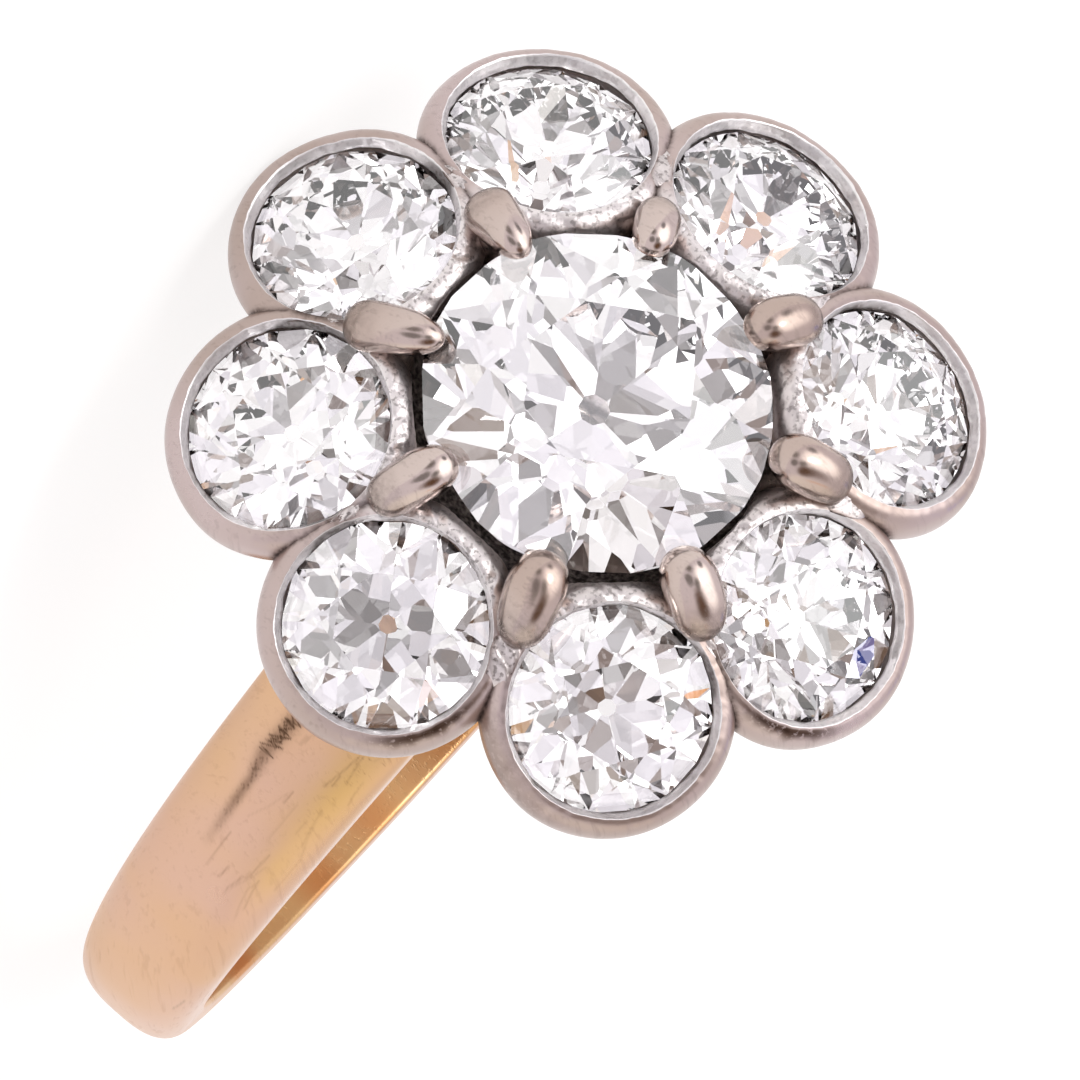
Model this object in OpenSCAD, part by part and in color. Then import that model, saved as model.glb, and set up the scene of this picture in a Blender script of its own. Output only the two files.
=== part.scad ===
// Cluster ring: eight small stones in a daisy of collets around a large claw-set stone, on a gold shank.
// It lies on its side on Z = 0, resting on one collet and on the back of the shank, with the head toward -Y.
// The ring is drawn upright first: X runs along the shank under the head, Y along the finger and Z out of
// the head, with Z = 0 in the plane that holds the middles of the collet rims.

/* [Finger and shank] */
// Inside diameter of the finger hole
finger_d = 17.2; // [15:0.1:21]
// Thickness of the shank at the crown of its section
shank_t = 1.2; // [0.9:0.05:1.8]
// Height of the straight sides of the shank's section
shank_side = 0.5; // [0.2:0.05:0.8]
// Width of the shank beside the head
shank_head_w = 3; // [2:0.1:4.5]
// Width of the shank at the back
shank_back_w = 1.9; // [1.2:0.1:3]
// Room between the shank and the culet of the centre stone
culet_room = 0.25; // [0.15:0.05:1.2]

/* [Centre stone] */
// Diameter of the centre stone
centre_d = 6.5; // [5:0.1:7]
// Height of the centre stone's girdle above the collet plane
centre_lift = 0.88; // [0.6:0.02:1.4]

/* [Small stones and collets] */
// Diameter of each small stone
petal_d = 3.8; // [3.2:0.05:3.8]
// Room between the edge of the centre stone and the inner edges of the small stones
petal_room = 0.48; // [0.44:0.02:0.9]
// Outward lean of each collet in degrees
petal_lean = 24; // [10:1:30]
// Metal around each small stone at its girdle
collet_wall = 0.46; // [0.36:0.01:0.5]
// Depth of each collet below its rim
collet_depth = 2.2; // [1.6:0.1:2.6]
// Inward taper of a collet's wall over its depth
collet_taper = 0.55; // [0.2:0.05:0.8]
// Width of the bright-cut edge around each small stone
bright_w = 0.13; // [0.06:0.01:0.2]
// Height of the rounded flank below a collet's sharp top edge
flank_h = 0.6; // [0.3:0.05:0.9]
// How far a rim laps over the edge of its stone
rim_lap = 0.04; // [0.03:0.01:0.12]
// Depth of a small stone's girdle below its rim
girdle_sink = 0.32; // [0.3:0.02:0.5]

/* [Claws and basket] */
// Radius of a claw at its thickest
claw_r = 0.54; // [0.4:0.01:0.56]
// Length of a claw
claw_len = 2.3; // [1.8:0.1:2.6]
// How steeply a claw slopes down from its tip, in degrees
claw_pitch = 27; // [15:1:40]
// Reach of a claw's tip past the edge of the stone
claw_reach = 0.42; // [0.3:0.02:0.7]
// Wall of the claw basket
basket_wall = 0.5; // [0.4:0.05:0.6]
// Width of the dark gap between the centre stone and the collets
stone_gap = 0.1; // [0.08:0.01:0.14]

/* [Cut of the stones] */
// Width of the table as a share of the diameter
table_share = 0.5; // [0.4:0.01:0.6]
// Height of the crown as a share of the diameter
crown_share = 0.165; // [0.12:0.005:0.2]
// Height of the girdle as a share of the diameter
girdle_share = 0.02; // [0.01:0.005:0.04]
// Depth of the pavilion as a share of the diameter
pavilion_share = 0.425; // [0.38:0.005:0.43]
// Width of the open culet as a share of the diameter
culet_share = 0.07; // [0.03:0.01:0.12]

/* [Clearances] */
// Gap left between a stone and the metal that holds it
stone_clear = 0.03; // [0.02:0.01:0.05]
// Solder gap between the shank and the setting
solder_gap = 0.04; // [0.02:0.01:0.08]

/* [Hidden] */
$fn = 96;
petals = 8;
petal_step = 360 / petals;

finger_r = finger_d / 2;
shank_r = finger_r + shank_t;
saddle_r = shank_r + solder_gap;
// Height of the collet plane above the centre of the finger hole
head_rise = shank_r + culet_room + centre_d * (pavilion_share + girdle_share / 2) - centre_lift;

// The end of a claw's tip over the stone, the foot of its stem, and the drop's half outline from its tail up
centre_r = centre_d / 2;
centre_top = centre_lift + centre_d * girdle_share / 2;
// The corners between table and girdle lie at this share of the radius, and the crown is steepest below them
mid_share = table_share + (1 - table_share) * 0.52;
mid_rise = crown_share * (1 - mid_share * cos(petal_step / 2)) / (1 - table_share);
crown_slope = 2 * mid_rise / (1 - mid_share);
tip = [centre_r - claw_reach, centre_top + claw_reach * crown_slope + 0.04];
foot = [centre_r + 0.1, -1.2];
DROP = [for (s = [0 : 0.1 : 1]) [claw_r * pow(max(0, sin(180 * pow(s, 1.25))), 0.7), claw_len * s]];

// Collet sizes, measured from the axis of the collet and down from its rim
petal_r = petal_d / 2;
// Distance from the middle of the head to the middle of each collet
petal_ring_r = centre_r + petal_room + petal_r * cos(petal_lean);
bore_r = petal_r - rim_lap;
groove_r = petal_r + stone_clear;
collet_r = groove_r + collet_wall;
petal_girdle = petal_d * girdle_share / 2;
lap_rise = (rim_lap + stone_clear) * crown_slope;
flank_w = collet_r - bore_r - bright_w;
// The rounded flank of a rim, from its widest point up to the sharp top edge
FLANK = [for (a = [0 : 18 : 90]) [collet_r - flank_w * (1 - cos(a)), -flank_h * (1 - sin(a))]];
// The well around the centre stone, which leaves the dark gap beside it
well_r = centre_r + stone_gap;

// The hand of the maker: how far each collet sits off the even ring, as a share of the ring's radius, and its
// turn in degrees; the first is on the shank's near shoulder, and they go round toward +Y
COLLET_PLACE = [
    [0.004, -0.8], [0.013, 1.3], [0, 0], [0.05, 1.6], [0.008, 0.8], [0, 1.4], [-0.012, 1.8], [-0.004, 0.2]];
// The same for the claws: how far each lies out, as a share of the stone's diameter, and its turn off the seam
CLAW_PLACE = [[0.05, 0], [0.045, -1.6], [0.065, 2.2], [0.03, -1.8], [0.005, -0.6], [0.015, 0], [0.027, 0], [0.023, 0]];
// Where the claw basket and its stone sit off the middle, as shares of the stone's diameter
OFF_MIDDLE = [-0.012, 0.012];

// Section of the shank: share of the half width, and share of the rounded crown's height
SHANK_SECTION = [for (a = [0 : 15 : 180]) [-sign(cos(a)) * pow(abs(cos(a)), 0.72), pow(sin(a), 0.85)]];
SHANK_STEPS = 90;
// The crown is flattened where the head is soldered on, from the first angle to the second
FLAT_FROM = 20;
FLAT_TO = 48;

function smooth(x) = let (c = min(max(x, 0), 1)) c * c * (3 - 2 * c);
function width_slope() = (shank_head_w - shank_back_w) / (cos(FLAT_TO) + 1);
// Half width of the shank at angle a from the middle of the head
function shank_half(a) = (shank_back_w + width_slope() * (1 + cos(a))) / 2;
function side_top(a) = finger_r + shank_side
    + (shank_t - shank_side) * 0.75 * (1 - smooth((min(a, 360 - a) - FLAT_FROM) / (FLAT_TO - FLAT_FROM)));
// A point of the shank's outer surface, at angle a and at point p of its section
function shank_point(a, p) = let (r = side_top(a) + (shank_r - side_top(a)) * p[1])
    [r * sin(a), shank_half(a) * p[0], r * cos(a) - head_rise];

function collet_ring_r(i) = petal_ring_r * (1 + COLLET_PLACE[i][0]);
function collet_turn(i) = i * petal_step + COLLET_PLACE[i][1];
// The angle half way between a collet and the next one
function seam_turn(i) = (collet_turn(i) + (i < petals - 1 ? collet_turn(i + 1) : collet_turn(0) + 360)) / 2;
function claw_turn(i) = seam_turn(i) + CLAW_PLACE[i][1];

// How the ring lies: the plane that touches the collet that points down and the back of the shank, worked out in
// the upright plane through both, as [distance along the finger, height]
DOWN = 6;
low_rim = [for (p = FLANK) [
    -collet_ring_r(DOWN) - p[0] * cos(petal_lean) - p[1] * sin(petal_lean),
    -p[0] * sin(petal_lean) + p[1] * cos(petal_lean)]];
back = [for (p = SHANK_SECTION) let (q = shank_point(180, p)) [q[1], q[2]]];
function touch_angle(p, q) = atan2(q[1] - p[1], q[0] - p[0]) + 90;
lie = max([for (p = low_rim) min([for (q = back) touch_angle(p, q)])]);
floor_h = min([for (p = low_rim) p[0] * cos(lie) + p[1] * sin(lie)]);
// The front and back of the ring as it lies, which put the origin in the middle
function out_front(y, z) = z * cos(lie) - (y + OFF_MIDDLE[1] * centre_d) * sin(lie);
claw_front = max([for (i = [0 : petals - 1]) out_front(tip[0] * sin(claw_turn(i)), tip[1])]) + claw_r * 0.5;
table_front = max([for (i = [0 : 7])
    out_front(centre_r * table_share * sin(i * 45), centre_top + centre_d * crown_share)]);
back_y = max([for (p = back) p[0] * sin(lie) - p[1] * cos(lie)]);
mid_y = (back_y - max(claw_front, table_front)) / 2;

module lying() {
    translate([0, -mid_y, -floor_h]) rotate([90 - lie, 0, 0]) children();
}

// A stone with a table, eight stars, eight kites, sixteen upper and lower girdle facets and an open culet
module cut_stone(d) {
    r = d / 2;
    table_r = r * table_share;
    crown = d * crown_share;
    half_girdle = d * girdle_share / 2;
    depth = d * pavilion_share;
    culet_r = r * culet_share;
    half = petal_step / 2;
    mid_r = r * mid_share;
    mid_z = d * mid_rise;
    low_r = r * 0.36;
    low_z = depth * (r - low_r * cos(half)) / (r - culet_r * cos(half));
    points = concat(
        [for (i = [0 : 7]) [table_r * cos(i * 45), table_r * sin(i * 45), half_girdle + crown]],
        [for (i = [0 : 7]) [mid_r * cos(i * 45 + half), mid_r * sin(i * 45 + half), half_girdle + mid_z]],
        [for (i = [0 : 15]) [r * cos(i * half), r * sin(i * half), half_girdle]],
        [for (i = [0 : 15]) [r * cos(i * half), r * sin(i * half), -half_girdle]],
        [for (i = [0 : 7]) [low_r * cos(i * 45 + half), low_r * sin(i * 45 + half), -half_girdle - low_z]],
        [for (i = [0 : 7]) [culet_r * cos(i * 45 + half), culet_r * sin(i * 45 + half), -half_girdle - depth]]);
    table = [[7, 6, 5, 4, 3, 2, 1, 0]];
    stars = [for (i = [0 : 7]) [i, (i + 1) % 8, 8 + i]];
    kites = [for (i = [0 : 7]) [i, 8 + i, 16 + 2 * i, 8 + (i + 7) % 8]];
    uppers = [for (i = [0 : 7], s = [0, 1]) [8 + i, 16 + (2 * i + 1 + s) % 16, 16 + (2 * i + s) % 16]];
    girdle = [for (i = [0 : 15]) [16 + i, 16 + (i + 1) % 16, 32 + (i + 1) % 16, 32 + i]];
    lowers = [for (i = [0 : 7], s = [0, 1]) [48 + i, 32 + (2 * i + s) % 16, 32 + (2 * i + 1 + s) % 16]];
    mains = [for (i = [0 : 7]) [32 + 2 * i, 48 + i, 56 + i, 56 + (i + 7) % 8, 48 + (i + 7) % 8]];
    culet = [[56, 57, 58, 59, 60, 61, 62, 63]];
    polyhedron(points, concat(table, stars, kites, uppers, girdle, lowers, mains, culet));
}

// The room that a stone takes in the metal: its outline turned about its axis, with the clearance all round
module stone_room(d) {
    r = d / 2 + stone_clear;
    half_girdle = d * girdle_share / 2 + stone_clear;
    rotate_extrude() polygon([
        [0, -half_girdle - d * pavilion_share],
        [r * culet_share, -half_girdle - d * pavilion_share],
        [r, -half_girdle],
        [r, half_girdle],
        [r * mid_share, half_girdle + d * mid_rise],
        [r * table_share, half_girdle + d * crown_share],
        [0, half_girdle + d * crown_share]]);
}

module shank_form() {
    n = len(SHANK_SECTION);
    inside = finger_r - 0.4;
    rows = [for (k = [0 : SHANK_STEPS - 1]) let (a = k * 360 / SHANK_STEPS) concat(
        [[inside * sin(a), -shank_half(a), inside * cos(a) - head_rise]],
        [for (p = SHANK_SECTION) shank_point(a, p)],
        [[inside * sin(a), shank_half(a), inside * cos(a) - head_rise]])];
    m = n + 2;
    faces = [for (k = [0 : SHANK_STEPS - 1], j = [0 : m - 1])
        let (k2 = (k + 1) % SHANK_STEPS, j2 = (j + 1) % m)
        each [[k * m + j, k2 * m + j, k2 * m + j2], [k * m + j, k2 * m + j2, k * m + j2]]];
    polyhedron([for (row = rows) each row], faces);
}

module shank() {
    color("goldenrod") lying() difference() {
        shank_form();
        translate([0, shank_head_w, -head_rise]) rotate([90, 0, 0]) cylinder(r = finger_r, h = 2 * shank_head_w);
    }
}

// Puts its children on the axis of collet i, with Z = 0 at the rim
module on_collet(i) {
    rotate([0, 0, collet_turn(i)]) translate([collet_ring_r(i), 0, 0]) rotate([0, petal_lean, 0]) children();
}

// A collet's wall, turned about its axis: foot, flank, bright-cut edge, the stone's groove, its seat and open back
module collet_wall_form() {
    top = -girdle_sink + petal_girdle + stone_clear;
    low = -girdle_sink - petal_girdle - stone_clear;
    seat_r = petal_r * 0.72;
    rotate_extrude() polygon(concat(
        [[seat_r * 0.85, -collet_depth], [collet_r - collet_taper, -collet_depth]],
        FLANK,
        [[bore_r, -bright_w * 0.6],
         [bore_r, top + lap_rise],
         [groove_r, top],
         [groove_r, low],
         [seat_r, low - (groove_r - seat_r) * 2.2 * pavilion_share]]));
}

// The share of the head that one collet fills, up to its seams with its neighbours
module collet_share(i) {
    from = i > 0 ? seam_turn(i - 1) : seam_turn(petals - 1) - 360;
    to = seam_turn(i);
    far = petal_ring_r + 2 * petal_d;
    translate([0, 0, -2 * collet_depth]) linear_extrude(4 * collet_depth)
        polygon([[0, 0], [far * cos(from), far * sin(from)], [far * cos(to), far * sin(to)]]);
}

module collet(i) {
    intersection() {
        on_collet(i) collet_wall_form();
        collet_share(i);
    }
}

// Puts its children on the axis of the centre stone, with Z = 0 in the collet plane
module on_middle() {
    translate([OFF_MIDDLE[0] * centre_d, OFF_MIDDLE[1] * centre_d, 0]) children();
}

// A claw: a drop that lies over the edge of the stone and runs out between two collets, on a stem up the basket
module claw(out) {
    end = tip + [out, 0];
    lean = atan2(end[0] + claw_len * 0.5 - foot[0], end[1] - foot[1]);
    translate([end[0] + claw_len * cos(claw_pitch), 0, end[1] - claw_len * sin(claw_pitch)])
        rotate([0, claw_pitch - 90, 0]) rotate_extrude($fn = 48) polygon(DROP);
    translate([foot[0], 0, foot[1]]) rotate([0, lean, 0]) rotate([0, 0, 35])
        cylinder(r1 = claw_r * 0.6, r2 = claw_r * 0.8, h = end[1] - foot[1] - claw_r * 0.9, $fn = 48);
}

// The solid outside of the basket under the centre stone
module basket_form() {
    foot_z = -head_rise + saddle_r - 1.6;
    translate([0, 0, foot_z]) cylinder(r = well_r + basket_wall, h = -foot_z - 0.4);
}

// The well that is cut down into it, with an open back
module well() {
    seat_z = centre_lift - centre_d * pavilion_share;
    back_r = centre_r * 0.45;
    rotate_extrude() polygon([
        [0, 2],
        [well_r, 2],
        [well_r, -0.25],
        [back_r, seat_z],
        [back_r, -head_rise + saddle_r - 2],
        [0, -head_rise + saddle_r - 2]]);
}

module cluster_setting() {
    color("silver") lying() difference() {
        union() {
            difference() {
                union() {
                    union() for (i = [0 : petals - 1]) collet(i);
                    on_middle() basket_form();
                }
                on_middle() well();
            }
            on_middle() difference() {
                union() for (i = [0 : petals - 1]) rotate([0, 0, claw_turn(i)]) claw(CLAW_PLACE[i][0] * centre_d);
                translate([0, 0, centre_lift]) stone_room(centre_d);
            }
        }
        translate([0, 10, -head_rise]) rotate([90, 0, 0]) cylinder(r = saddle_r, h = 20, $fn = 192);
    }
}

module centre_stone() {
    color("white") lying() on_middle() translate([0, 0, centre_lift]) cut_stone(centre_d);
}

module petal_stone(i) {
    color("white") lying() on_collet(i) translate([0, 0, -girdle_sink]) cut_stone(petal_d);
}

shank();
cluster_setting();
centre_stone();
for (i = [1 : petals]) petal_stone(i - 1);
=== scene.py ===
"""Looks of a daisy cluster ring: old-cut stones in platinum collets and claws, on a gold shank.

Shapes are first worked out in millimetres with the ring drawn upright: X along the shank under the head,
Y along the finger and Z out of the head, with Z = 0 in the plane that holds the middles of the collet rims.
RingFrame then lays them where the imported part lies.
"""

from __future__ import annotations

import logging
import math
from collections.abc import Callable
from dataclasses import dataclass, field
from enum import Enum

import bmesh
import bpy
import numpy as np
from mathutils import Matrix

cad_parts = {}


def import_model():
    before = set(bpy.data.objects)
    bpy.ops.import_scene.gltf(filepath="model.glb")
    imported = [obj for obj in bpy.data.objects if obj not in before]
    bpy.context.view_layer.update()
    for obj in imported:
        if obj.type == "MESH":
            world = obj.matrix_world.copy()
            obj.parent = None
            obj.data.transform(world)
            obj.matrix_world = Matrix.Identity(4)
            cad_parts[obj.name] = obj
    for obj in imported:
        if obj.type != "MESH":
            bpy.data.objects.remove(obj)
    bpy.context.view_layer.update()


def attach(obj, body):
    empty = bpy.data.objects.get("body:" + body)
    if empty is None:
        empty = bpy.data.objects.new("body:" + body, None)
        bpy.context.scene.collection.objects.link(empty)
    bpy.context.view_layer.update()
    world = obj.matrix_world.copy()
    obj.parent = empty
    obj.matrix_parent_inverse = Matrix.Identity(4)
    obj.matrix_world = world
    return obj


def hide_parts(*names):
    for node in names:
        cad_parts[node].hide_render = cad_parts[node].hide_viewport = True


log = logging.getLogger("cluster_ring")
Array = np.ndarray
Colour = tuple[float, float, float, float]
MM = 0.001
PER_MM = 1000.0  # turns Object coordinates in metres into millimetres
MICRON = 1e-6
TURN = 2 * math.pi
MERGE_MM = 0.0005  # points nearer than this become one
COLLETS = 8
SMALL_STONE_MM = 3.8
MIDDLE_STONE_MM = 6.5


# Small tools


def to_linear(hex_colour: str) -> Colour:
    """Turns an sRGB hex value into a linear colour.

    Args:
        hex_colour: The colour as "#RRGGBB".

    Returns:
        Linear red, green, blue and an alpha of 1.
    """
    s = np.array([int(hex_colour[k : k + 2], 16) for k in (1, 3, 5)]) / 255
    linear = np.where(s <= 0.04045, s / 12.92, ((s + 0.055) / 1.055) ** 2.4)
    return (float(linear[0]), float(linear[1]), float(linear[2]), 1.0)


def add_node(tree: bpy.types.NodeTree, kind: str, inputs: dict | None = None, **settings) -> bpy.types.Node:
    """Adds a node with its settings, values and links.

    Args:
        tree: The node tree that takes the node.
        kind: The node's type name, after ShaderNode.
        inputs: For each input, by name or number, the value that it is set to or the output that feeds it.
        settings: The node's own properties.

    Returns:
        The new node.
    """
    node = tree.nodes.new("ShaderNode" + kind)
    for name, value in settings.items():
        setattr(node, name, value)
    for key, value in (inputs or {}).items():
        socket = node.inputs[key]
        if isinstance(value, bpy.types.NodeSocket):
            tree.links.new(value, socket)
        else:
            socket.default_value = value
    return node


def uneven(angle: Array, seed: int, waves: tuple[int, ...] = (2, 3, 5, 7)) -> Array:
    """Hand unevenness round a circle: a sum of sines of the angle with seeded phases, within -1 and 1.

    Args:
        angle: Angles in radians.
        seed: Chooses the phases.
        waves: How many times each sine goes round.

    Returns:
        One value for each angle.
    """
    phase = np.random.default_rng(seed).uniform(0, TURN, len(waves))
    parts = [np.sin(n * angle + p) / math.sqrt(n) for n, p in zip(waves, phase)]
    return sum(parts) / sum(1 / math.sqrt(n) for n in waves)


def bell(value: Array, middle: Array | float, wide: Array | float) -> Array:
    """One at the middle, and less on both sides by the square of the distance as a share of the width."""
    return np.exp(-(((value - middle) / wide) ** 2))


def round_angles(count: int) -> Array:
    """Even angles once round a circle."""
    return np.linspace(0, TURN, count, endpoint=False)


def turned_to(*axes: Array) -> Matrix:
    """The matrix that turns X, Y and Z to three directions."""
    return Matrix([np.asarray(a).tolist() for a in axes]).transposed().to_4x4()


def add_object(name: str, data: bpy.types.ID) -> bpy.types.Object:
    """Adds an object to the scene."""
    thing = bpy.data.objects.new(name, data)
    bpy.context.scene.collection.objects.link(thing)
    return thing


class Part(Enum):
    """The parts of the ring that have a finish of their own."""

    SHANK = "shank"
    COLLET = "collet"
    CLAW = "claw"
    BASKET = "basket"
    STONE = "stone"


@dataclass(frozen=True)
class RingFrame:
    """Where the upright ring lies in the part: the middle of the finger hole and the finger's direction."""

    hole: tuple[float, float, float]
    finger: tuple[float, float, float]
    head_rise: float

    def axes(self) -> Array:
        """Rows that hold the upright X, Y and Z directions in the part."""
        y = np.array(self.finger)
        return np.array([[1, 0, 0], y, np.cross([1, 0, 0], y)])

    def place(self, points: Array) -> Array:
        """Turns upright points in millimetres into points of the part in metres.

        Args:
            points: An array that ends in three columns.

        Returns:
            An array of the same form, in metres.
        """
        axes = self.axes()
        origin = np.array(self.hole) + axes[2] * self.head_rise * MM
        return origin + (points @ axes) * MM

    def turn(self, direction: Array) -> Array:
        """The part's direction for an upright direction."""
        return np.asarray(direction) @ self.axes()


@dataclass
class Surface:
    """A grid of points, rows by columns, that may close on itself either way."""

    points: Array
    wrap_rows: bool = False
    wrap_cols: bool = True
    marks: dict[str, Array] = field(default_factory=dict)

    def faces(self, start: int) -> Array:
        """The quads of the grid, numbered from start."""
        rows, cols = self.points.shape[:2]
        r = np.arange(rows if self.wrap_rows else rows - 1)[:, None]
        c = np.arange(cols if self.wrap_cols else cols - 1)[None, :]
        r2, c2 = (r + 1) % rows, (c + 1) % cols
        quads = np.stack([r * cols + c, r * cols + c2, r2 * cols + c2, r2 * cols + c], axis=-1)
        return quads.reshape(-1, 4) + start


def build_piece(name: str, surfaces: list[Surface], ring: RingFrame) -> bpy.types.Object:
    """Makes one smooth object of several grids, with doubles merged and faces pointing outwards.

    Args:
        name: The piece's name.
        surfaces: The grids, in upright millimetres.
        ring: Where the ring lies.

    Returns:
        The new object.
    """
    starts = np.cumsum([0] + [s.points.shape[0] * s.points.shape[1] for s in surfaces])
    points = np.concatenate([s.points.reshape(-1, 3) for s in surfaces])
    quads = np.concatenate([s.faces(int(k)) for s, k in zip(surfaces, starts)])
    mesh = bpy.data.meshes.new(name)
    mesh.from_pydata(ring.place(points).tolist(), [], quads.tolist())
    for mark in sorted({m for s in surfaces for m in s.marks}):
        values = [np.broadcast_to(s.marks.get(mark, 0.0), s.points.shape[:2]).ravel() for s in surfaces]
        layer = mesh.attributes.new(mark, "FLOAT", "POINT")
        layer.data.foreach_set("value", np.concatenate(values).astype(np.float32))
    work = bmesh.new()
    work.from_mesh(mesh)
    bmesh.ops.remove_doubles(work, verts=work.verts, dist=MERGE_MM * MM)
    bmesh.ops.recalc_face_normals(work, faces=work.faces)
    work.to_mesh(mesh)
    work.free()
    mesh.polygons.foreach_set("use_smooth", [True] * len(mesh.polygons))
    return add_object(name, mesh)


def hand_over(piece: bpy.types.Object, slot: str, material: bpy.types.Material, *nodes: str) -> None:
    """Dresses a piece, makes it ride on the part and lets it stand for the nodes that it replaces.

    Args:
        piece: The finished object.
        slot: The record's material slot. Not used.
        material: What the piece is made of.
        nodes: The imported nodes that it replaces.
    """
    piece.data.materials.append(material)
    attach(piece, "root")
    if nodes:
        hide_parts(*nodes)
    log.info("%s: %d faces, %s", piece.name, len(piece.data.polygons), material.name)


# The ring's pieces


@dataclass
class Shank:
    """The gold shank: a D section that narrows toward the back and is flattened under the head."""

    head_rise: float
    finger_r: float = 8.6
    outer_r: float = 9.8
    side: float = 0.5
    head_width: float = 3.0
    back_width: float = 1.9
    flat_from: float = math.radians(20)
    flat_to: float = math.radians(48)
    edge: float = 0.1
    wear: float = 0.012
    crown_power: float = 2.78  # of the superellipse across the crown
    crown_root: float = 0.425
    scratches: int = 64
    scratches_near: int = 26  # how many of them lie by the scrape
    scrape_wide: float = 0.015
    scratch_wide: float = 0.02
    scratch_deep: float = 0.008
    # Where the scrape's middle lies across the width, at four angles from the head in degrees
    scrape_middle: tuple[tuple[float, ...], tuple[float, ...]] = ((38, 46, 49, 57), (-0.45, -0.5, -0.4, -0.33))
    # The scrape's strokes: first and last degree, reach to each side, corners, seed and how dark
    strokes: tuple[tuple[float, float, float, int, int, float], ...] = (
        (37, 42.3, 0.13, 13, 4, 0.9), (40.8, 45.8, 0.2, 17, 5, 0.9), (46.4, 49.0, 0.07, 8, 6, 0.5),
    )

    def half_width(self, angle: Array) -> Array:
        """Half the width: it falls with the cosine of the angle from the head to the back."""
        slope = (self.head_width - self.back_width) / (math.cos(self.flat_to) + 1)
        return (self.back_width + slope * (1 + np.cos(angle))) / 2

    def side_top(self, angle: Array) -> Array:
        """Radius at which the straight side ends: raised near the head by a smooth step of the angle."""
        off = np.minimum(angle, TURN - angle)
        t = np.clip((off - self.flat_from) / (self.flat_to - self.flat_from), 0, 1)
        low = self.finger_r + self.side
        return low + (self.outer_r - low) * 0.75 * (1 - t * t * (3 - 2 * t))

    def surface(self) -> Surface:
        """The skin: at each angle a crown that follows a superellipse, two small edge rounds and the flat inside.

        Returns:
            A grid that closes on itself both ways.
        """
        steps = [np.arange(0, 360, 0.9), np.arange(36, 50, 0.15), np.arange(50, 62, 0.2)]
        degrees = np.unique(np.round(np.concatenate(steps), 3))
        angle = np.radians(degrees)[:, None]
        half, low = self.half_width(angle), self.side_top(angle)
        crown_x = np.sin(np.linspace(-math.pi / 2, math.pi / 2, 131))[None, :]
        crown_h = (1 - np.abs(crown_x) ** self.crown_power).clip(0) ** self.crown_root
        dent = self.wear * (1 + uneven(angle * 1.0, 3, (5, 9, 14, 23))) * crown_h
        bend = np.linspace(0, math.pi / 2, 7)[None, :]
        edge_x = half - self.edge * (1 - np.cos(bend))
        edge_r = self.finger_r + self.edge * (1 - np.sin(bend))
        inside_x = (half - self.edge) * np.linspace(0.95, -0.95, 15)[None, :]
        x = np.concatenate([half * crown_x, edge_x, inside_x, -edge_x[:, ::-1]], axis=1)
        r = np.concatenate(
            [
                low + (self.outer_r - low) * crown_h - dent,
                np.broadcast_to(edge_r, edge_x.shape),
                np.full(inside_x.shape, self.finger_r),
                np.broadcast_to(edge_r[:, ::-1], edge_x.shape),
            ],
            axis=1,
        )
        marks = self.marks(np.broadcast_to(angle, r.shape), x, r)
        r = r - self.scratch_deep * marks["scratch"]
        points = np.stack([r * np.sin(angle), x, r * np.cos(angle) - self.head_rise], axis=-1)
        return Surface(points, wrap_rows=True, marks=marks)

    def scratched(self, along: Array, x: Array, path: Array, wide: float) -> Array:
        """How near each point is to a broken line: a bell of the distance to the nearest of its straight pieces.

        Args:
            along: Each point's distance along the outside of the shank, from the head, in millimetres.
            x: Its place across.
            path: The line's corners, as rows of the same two values.
            wide: The bell's half width.

        Returns:
            One on the line and nothing far from it.
        """
        near = np.zeros(along.shape)
        box = (along > path[:, 0].min() - 0.3) & (along < path[:, 0].max() + 0.3)
        points = np.stack([along[box], x[box]], axis=-1)[:, None]
        start, step = path[:-1], np.diff(path, axis=0)
        share = (((points - start) * step).sum(-1) / (step**2).sum(-1)).clip(0, 1)
        away = np.linalg.norm(points - start - share[..., None] * step, axis=-1).min(axis=1)
        near[box] = bell(away, 0, wide)
        return near

    def scribble(self, start: float, end: float, reach: float, turns: int, seed: int) -> Array:
        """A zigzag along the scrape's middle between two angles in degrees, its corners thrown off by the hand."""
        rng = np.random.default_rng(seed)
        deg = np.linspace(start, end, turns)
        side = np.where(np.arange(turns) % 2, 1.0, -1.0) * rng.uniform(0.45, 1.0, turns) * reach
        along = np.radians(deg) * self.outer_r + rng.normal(0, 0.13, turns)
        return np.stack([along, np.interp(deg, *self.scrape_middle) + side], axis=-1)

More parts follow.
